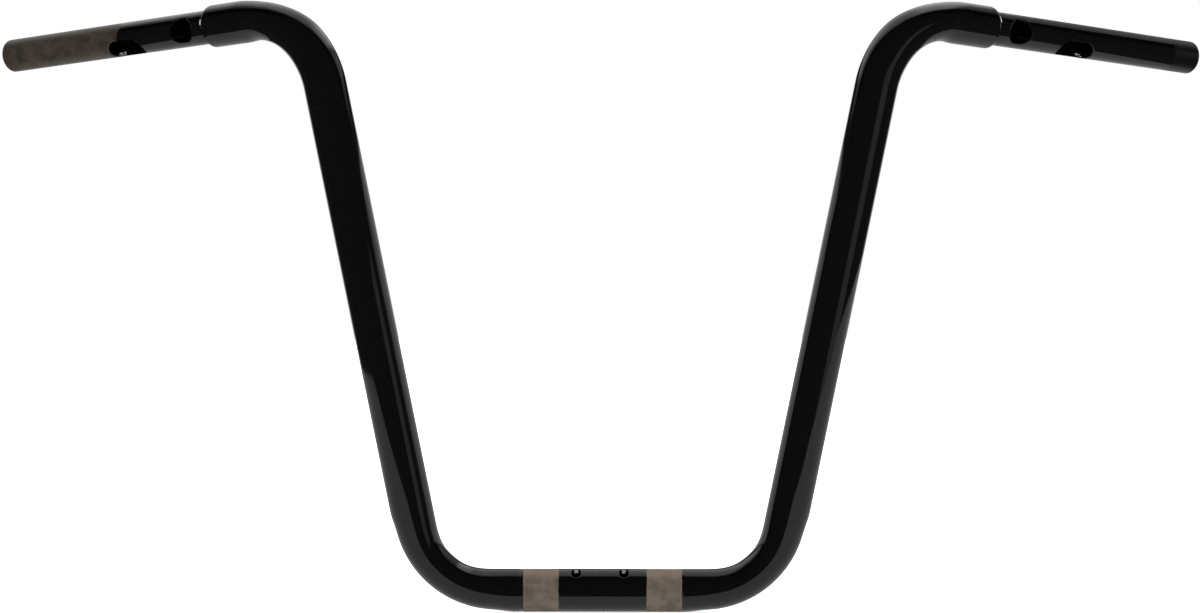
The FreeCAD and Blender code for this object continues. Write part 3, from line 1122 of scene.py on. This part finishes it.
near_edge = facing(OVERHEAD_NEAR, [(-OVERHEAD_HALF, OVERHEAD_HEIGHT), (OVERHEAD_HALF, OVERHEAD_HEIGHT)])
tree, light = card("overhead", [near_edge, back_to(near_edge, FAR)], OVERHEAD_GLOW)
place = node(tree, "ShaderNodeSeparateXYZ")
feed(node(tree, "ShaderNodeTexCoord").outputs["Object"], place.inputs[0])
slant = maths(tree, "MULTIPLY", maths(tree, "ABSOLUTE", place.outputs["X"]), OVERHEAD_SLANT)
inward = maths(tree, "SUBTRACT", place.outputs["Y"], slant)
full_from = maths(tree, "ADD", follow(tree, place.outputs["X"], OVERHEAD_FADES), OVERHEAD_NEAR)
fade = remap(tree, inward, OVERHEAD_NEAR, full_from, 0.0, OVERHEAD_GLOW)
share = follow(tree, place.outputs["X"], OVERHEAD_SHARES)
feed(maths(tree, "MULTIPLY", fade, share), light.inputs["Strength"])

# %% [markdown]
# The plain pale floor lies just under the base. Reflections pass it by, because the tray stands in
# for it there. The surroundings light the floor and the bare steel softly from above, stay dark in
# reflections, and look plain white past the floor.

# %% Floor and surroundings
VIEWER_SIDE = 0.03
SOFT_BELOW = 0.3
SOFT_ABOVE = 1.6
SOFT_HEIGHTS = (-0.3, 0.6)
WHITE = (1.0, 1.0, 1.0, 1.0)
FLOOR_SIZE = 30.0
FLOOR_GAP = 0.2 * MM
FLOOR_GREYS = ((0.90, 0.90, 0.90, 1.0), (0.93, 0.93, 0.93, 1.0))
FLOOR_CLOUDS = 3.0
FLOOR_ROUGHNESS = 0.9
FLOOR_GLOW = 0.8


def studio_world():
    """Surroundings: dark for reflections, soft from above for matt surfaces, white for the camera."""
    world = bpy.data.worlds.new("studio")
    bpy.context.scene.world = world
    world.use_nodes = True
    tree = world.node_tree
    direction = node(tree, "ShaderNodeSeparateXYZ")
    feed(node(tree, "ShaderNodeTexCoord").outputs["Generated"], direction.inputs[0])
    soft = remap(tree, direction.outputs["Z"], *SOFT_HEIGHTS, SOFT_BELOW, SOFT_BELOW + SOFT_ABOVE,
                 "SMOOTHSTEP")
    path = node(tree, "ShaderNodeLightPath").outputs
    strength = mixed(tree, path["Is Diffuse Ray"], VIEWER_SIDE, soft)
    background = tree.nodes["Background"].inputs
    feed(mixed(tree, path["Is Camera Ray"], strength, 1.0), background["Strength"])
    background["Color"].default_value = WHITE


def pale_floor():
    """Wide plain floor just under the base tube."""
    half = FLOOR_SIZE / 2
    mesh = bpy.data.meshes.new("floor")
    height = cad_box[0][2] - FLOOR_GAP
    mesh.from_pydata([(-half, -half, height), (half, -half, height), (half, half, height),
                      (-half, half, height)], [], [(0, 1, 2, 3)])
    made = bpy.data.objects.new("floor", mesh)
    bpy.context.scene.collection.objects.link(made)
    made.visible_glossy = False
    material, tree, shader, coordinates = new_finish("pale_floor")
    clouds = noise_of(tree, coordinates, FLOOR_CLOUDS, detail=2.0)
    feed(mixed(tree, clouds, *FLOOR_GREYS, "RGBA"), shader["Base Color"])
    shader["Roughness"].default_value = FLOOR_ROUGHNESS
    shader["Specular IOR Level"].default_value = 0.0
    shader["Emission Color"].default_value = WHITE
    shader["Emission Strength"].default_value = FLOOR_GLOW
    mesh.materials.append(material)
    print("floor at", round(height, 5))


studio_world()
pale_floor()
bpy.context.scene.view_settings.view_transform = "Standard"

# %% [markdown]
# The camera stands level in front of the bar, a little under half its height, far enough away that
# the grips sweep back only slightly smaller.

# %% Camera
CAMERA_DISTANCE = 1.7534
CAMERA_HEIGHT = 0.2092
CAMERA_SIDE = -0.0003
CAMERA_ROLL = -0.0015
FOCAL_PIXELS = 2378.2
PHOTO_WIDTH = 1200
SENSOR_WIDTH = 36.0

lens = bpy.data.cameras.new("camera")
lens.sensor_width = SENSOR_WIDTH
lens.lens = FOCAL_PIXELS * SENSOR_WIDTH / PHOTO_WIDTH
camera = bpy.data.objects.new("camera", lens)
camera.location = (CAMERA_SIDE, -CAMERA_DISTANCE, CAMERA_HEIGHT)
camera.rotation_euler = (math.pi / 2, CAMERA_ROLL, 0.0)
bpy.context.scene.collection.objects.link(camera)
bpy.context.scene.camera = camera
print("lens", round(lens.lens, 2))

# %% [markdown]
# Looks must not change the bar's size, so the box of the solids that was kept at the start is printed
# once more at the end.

# %% Print the box of the solids
bpy.context.view_layer.update()
print("solids", [[round(c, 4) for c in corner] for corner in cad_box])
